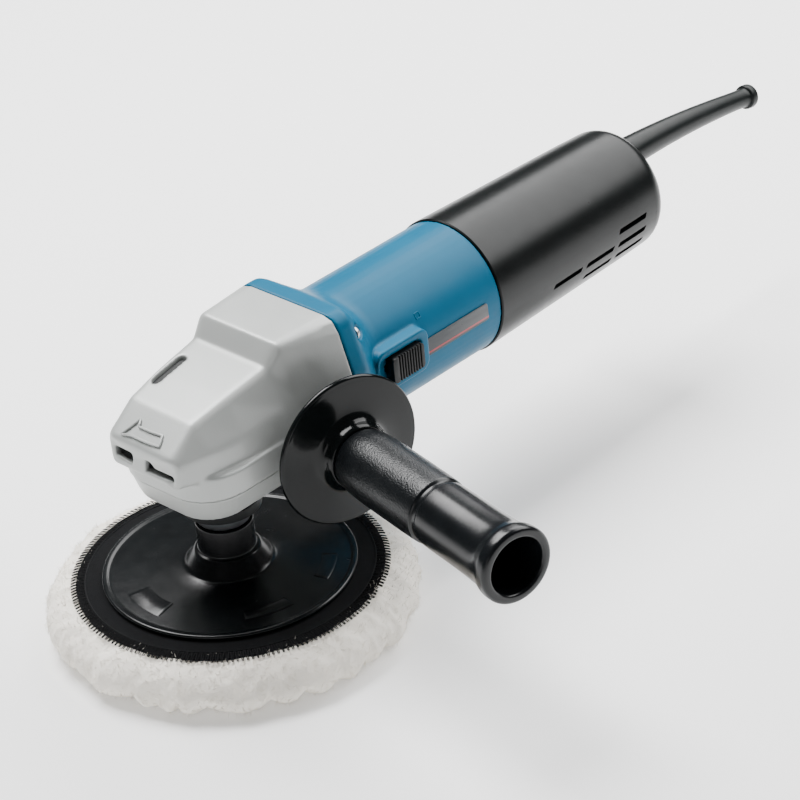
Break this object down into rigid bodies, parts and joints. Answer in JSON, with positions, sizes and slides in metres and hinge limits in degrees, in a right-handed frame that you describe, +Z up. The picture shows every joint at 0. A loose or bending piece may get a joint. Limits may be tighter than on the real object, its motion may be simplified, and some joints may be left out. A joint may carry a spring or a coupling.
{
  "type": "rotary polisher",
  "caption": "Corded rotary polisher: gear head with a wool bonnet on a rubber backing pad, barrel motor housing, rear cover and a side grip with a disc guard.",
  "frame": {"origin": "on the spindle axis at the working face of the wool", "axes": "+Z up along the spindle, +Y back along the motor, +X to the side with the grip and the slide switch"},
  "size_m": [0.3049, 0.5525, 0.1614],
  "materials": {
    "silver_paint": "satin silver-grey paint on cast metal",
    "blue_plastic": "satin blue moulding",
    "gloss_black_plastic": "gloss black moulding",
    "grip_plastic": "semi-gloss black with a fine grain",
    "black_plastic": "matt black moulding",
    "pad_rubber": "smooth moulded rubber",
    "guard_rubber": "smooth flexible rubber",
    "bonnet_fabric": "black woven backing with an overlocked edge",
    "wool": "short dense wool pile",
    "label": "plain dark label with one thin stripe",
    "steel": "machined",
    "plated_steel": "plated ring",
    "gear_steel": "dark hardened steel",
    "cast_aluminium": "as cast",
    "copper": "copper and brass",
    "carbon": "carbon"
  },
  "bodies": {
    "housing": {"gear_housing": "silver_paint", "bearing_box": "silver_paint", "spindle_bearing_lower": "steel", "spindle_bearing_upper": "steel", "bearing_retainer": "steel", "seal_cover": "plated_steel", "dust_ring": "black_plastic", "countershaft_bearing_front": "steel", "countershaft_bearing_rear": "steel", "gear_plate": "cast_aluminium", "field_core": "gear_steel", "field_coil_upper": "copper", "field_coil_lower": "copper", "armature_bearing_front": "steel", "armature_bearing_rear": "steel", "air_baffle": "black_plastic", "bearing_bracket": "black_plastic", "brush_holder_near": "copper", "brush_holder_far": "copper", "carbon_brush_near": "carbon", "carbon_brush_far": "carbon", "motor_housing": "blue_plastic", "label_plate": "label", "switch_unit": "black_plastic", "rear_cover": "gloss_black_plastic", "cord_guard": "guard_rubber", "rear_cover_screw": "steel", "cord_clamp": "black_plastic", "cord_clamp_screw_1": "steel", "cord_clamp_screw_2": "steel", "noise_filter": "black_plastic", "grip_stud": "steel", "grip_guard": "gloss_black_plastic", "side_grip": "grip_plastic", "housing_screw_1": "steel", "bearing_box_screw_1": "steel", "housing_screw_2": "steel", "bearing_box_screw_2": "steel", "housing_screw_3": "steel", "bearing_box_screw_3": "steel", "housing_screw_4": "steel", "bearing_box_screw_4": "steel"},
    "armature": {"armature_shaft": "steel", "armature_core": "gear_steel", "commutator": "copper", "cooling_fan": "black_plastic"},
    "countershaft": {"bevel_pinion_shaft": "gear_steel", "drive_gear": "gear_steel"},
    "output": {"spindle": "steel", "ring_gear": "gear_steel", "spindle_collar": "gear_steel", "pad_insert": "steel", "backing_pad": "pad_rubber", "bonnet_fabric": "bonnet_fabric", "wool_pile": "wool"},
    "switch_slide": {"switch_button": "black_plastic", "switch_rod": "black_plastic"},
    "shaft_lock": {"lock_button": "black_plastic", "lock_pin": "steel"}
  },
  "joints": [
    {"name": "spindle_spin", "type": "hinge", "parent": "housing", "child": "output", "pos_m": [0, 0, 0.06], "axis": [0, 0, 1], "continuous": true},
    {"name": "countershaft_spin", "type": "hinge", "parent": "housing", "child": "countershaft", "pos_m": [0, 0.04, 0.1349], "axis": [0, 1, 0], "continuous": true},
    {"name": "armature_spin", "type": "hinge", "parent": "housing", "child": "armature", "pos_m": [0, 0.1, 0.114], "axis": [0, 1, 0], "continuous": true},
    {"name": "switch_travel", "type": "slide", "parent": "housing", "child": "switch_slide", "axis": [0, -1, 0], "range_m": [0, 0.0058]},
    {"name": "lock_press", "type": "slide", "parent": "housing", "child": "shaft_lock", "axis": [0, 0, -1], "range_m": [0, 0.004], "stiffness_N_per_m": 600, "springref_m": -0.002}
  ],
  "couplings": [
    {"joint": "countershaft_spin", "follows": "spindle_spin", "ratio": 2.75},
    {"joint": "armature_spin", "follows": "spindle_spin", "ratio": -11}
  ]
}
